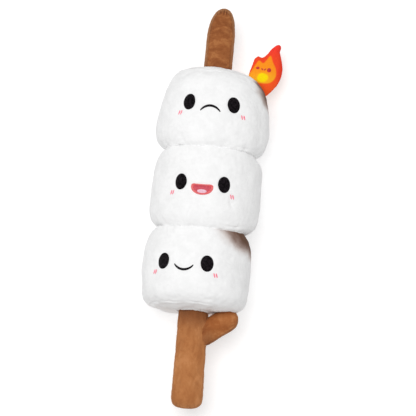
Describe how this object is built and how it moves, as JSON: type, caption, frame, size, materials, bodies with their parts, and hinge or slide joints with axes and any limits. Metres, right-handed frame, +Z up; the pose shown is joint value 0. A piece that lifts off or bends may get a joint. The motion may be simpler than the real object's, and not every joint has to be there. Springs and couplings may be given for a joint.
{
  "type": "stuffed marshmallow stick toy",
  "caption": "Long soft toy of stacked toasted marshmallows with stitched faces on a brown fabric stick with a branch stub, a small flame at the shoulder, lying on its back.",
  "frame": {"origin": "on the surface that the toy lies on, at the small resting flat of the middle marshmallow, under the stick's centre line", "axes": "+Y along the stick towards its pointed tip, +Z up through the faces, +X to the faces' right as seen in the picture"},
  "size_m": [0.1349, 0.4475, 0.1199],
  "materials": {
    "white_plush": "short soft pile, matt",
    "brown_velvet": "brushed velvet with a light and dark nap",
    "black_thread": "satin stitch embroidery",
    "lip_thread": "satin stitch embroidery",
    "mouth_thread": "satin stitch embroidery",
    "tongue_thread": "satin stitch embroidery",
    "blush_thread": "fine stitched strokes",
    "flame_cloth": "smooth printed cloth"
  },
  "bodies": {
    "root": {"marshmallow_top": "white_plush", "marshmallow_middle": "white_plush", "marshmallow_bottom": "white_plush", "stick_tip": "brown_velvet", "stick_handle": "brown_velvet", "stick_branch": "brown_velvet", "flame": "flame_cloth", "eye_top_left": "black_thread", "blush_top_left_outer": "blush_thread", "blush_top_left_inner": "blush_thread", "eye_top_right": "black_thread", "blush_top_right_outer": "blush_thread", "blush_top_right_inner": "blush_thread", "eye_middle_left": "black_thread", "blush_middle_left_outer": "blush_thread", "blush_middle_left_inner": "blush_thread", "eye_middle_right": "black_thread", "blush_middle_right_outer": "blush_thread", "blush_middle_right_inner": "blush_thread", "eye_bottom_left": "black_thread", "blush_bottom_left_outer": "blush_thread", "blush_bottom_left_inner": "blush_thread", "eye_bottom_right": "black_thread", "blush_bottom_right_outer": "blush_thread", "blush_bottom_right_inner": "blush_thread", "mouth_frown": "black_thread", "mouth_smile": "black_thread", "mouth_lip": "lip_thread", "mouth_inside": "mouth_thread", "mouth_tongue": "tongue_thread"}
  },
  "joints": []
}
